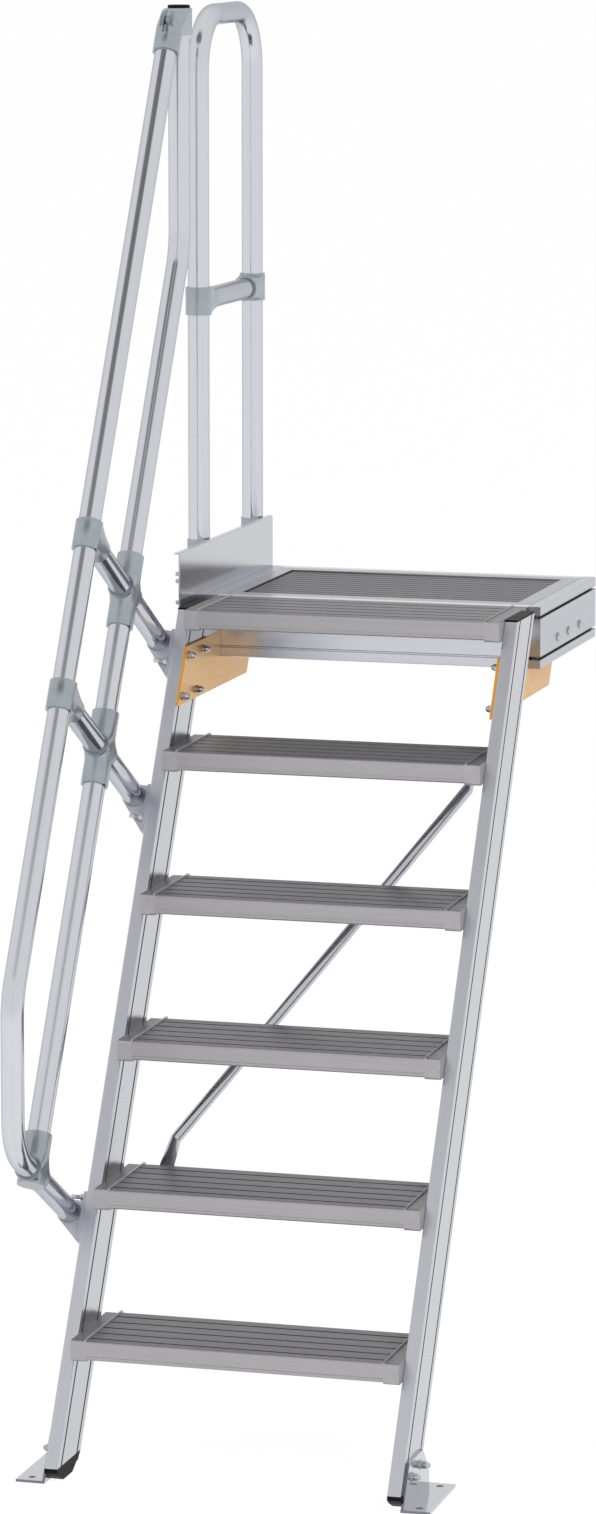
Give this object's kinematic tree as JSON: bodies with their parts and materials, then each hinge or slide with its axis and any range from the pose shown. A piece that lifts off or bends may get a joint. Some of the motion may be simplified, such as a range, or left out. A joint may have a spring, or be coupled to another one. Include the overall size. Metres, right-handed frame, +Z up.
{
  "type": "platform stair",
  "caption": "Steep aluminium platform stair with ribbed treads between two stringers, a small top platform, a tube handrail with a knee rail on one side and a platform guard loop.",
  "frame": {"origin": "middle of the platform's rear face, halfway up the rear beam, where the stair is fixed to a building", "axes": "+X to the right for a person climbing, +Y back along the stair towards the building, +Z up"},
  "size_m": [0.7855, 1.5805, 2.6411],
  "materials": {
    "extrusion": "mill-finish extruded aluminium with a fine lengthwise grain",
    "tread": "ribbed extruded aluminium, matt grey on the walking faces",
    "tread_cap": "grey moulded end caps with a lit edge",
    "deck": "dark ribbed aluminium planking",
    "tube": "drawn aluminium tube, satin with sharp dark reflections",
    "casting": "blue-grey coated die castings",
    "plate": "orange-yellow passivated plate",
    "sheet": "bent aluminium sheet",
    "black_plastic": "black moulded plastic",
    "bracket": "bent plate with a dull silver surface"
  },
  "bodies": {
    "root": {"left_stringer": "extrusion", "right_stringer": "extrusion", "tread_1": "tread", "tread_2": "tread", "tread_3": "tread", "tread_4": "tread", "tread_5": "tread", "top_tread": "tread", "left_tread_caps": "tread_cap", "right_tread_caps": "tread_cap", "platform_front_beam": "extrusion", "platform_rear_beam": "extrusion", "left_side_rail": "extrusion", "right_side_rail": "extrusion", "deck_border": "extrusion", "deck_panel": "deck", "left_joining_plate": "plate", "right_joining_plate": "plate", "toe_board": "sheet", "guard_loop": "tube", "guard_crossbar": "tube", "front_guard_clamp": "casting", "back_guard_clamp": "casting", "front_post_bracket": "casting", "back_post_bracket": "casting", "handrail": "tube", "knee_rail": "tube", "knee_rail_plug": "black_plastic", "top_clamp": "casting", "lower_standoff": "tube", "middle_standoffs": "tube", "upper_standoffs": "tube", "lower_clamp": "casting", "middle_cross_clamp": "casting", "upper_cross_clamp": "casting", "middle_handrail_clamp": "casting", "upper_handrail_clamp": "casting", "lower_stringer_bracket": "casting", "middle_stringer_bracket": "casting", "upper_stringer_bracket": "casting", "diagonal_brace": "tube", "stringer_top_caps": "black_plastic", "feet": "black_plastic", "left_floor_bracket": "bracket", "right_floor_bracket": "bracket"}
  },
  "joints": []
}
